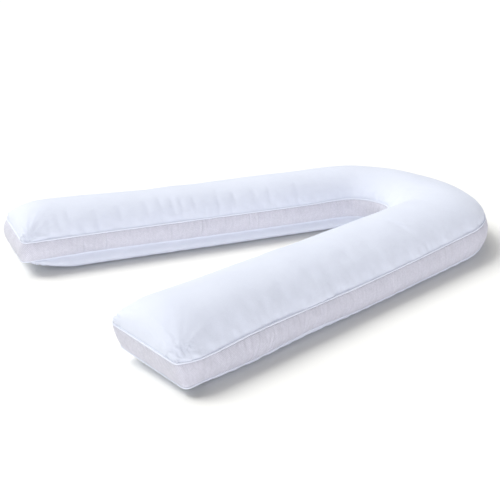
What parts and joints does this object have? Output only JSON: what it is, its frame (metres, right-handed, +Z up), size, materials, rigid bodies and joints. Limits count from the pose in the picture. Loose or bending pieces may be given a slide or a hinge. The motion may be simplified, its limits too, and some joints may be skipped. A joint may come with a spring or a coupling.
{
  "type": "body pillow",
  "caption": "U-shaped body pillow with straight splayed arms, crowned panels, a mesh side band and piped seams.",
  "frame": {"origin": "middle of the pillow's plan, on the surface it lies on", "axes": "+X from the open ends of the arms to the bend, +Y from the front arm to the rear arm, +Z up from the flattened underside"},
  "size_m": [1.482, 1.1656, 0.1865],
  "materials": {
    "panel_cloth": "smooth matt woven",
    "mesh_cloth": "fine open mesh knit",
    "piping_cloth": "smooth matt woven"
  },
  "bodies": {
    "root": {"pillow_body": "panel_cloth", "mesh_side_band": "mesh_cloth", "upper_seam_piping": "piping_cloth", "lower_seam_piping": "piping_cloth"}
  },
  "joints": []
}
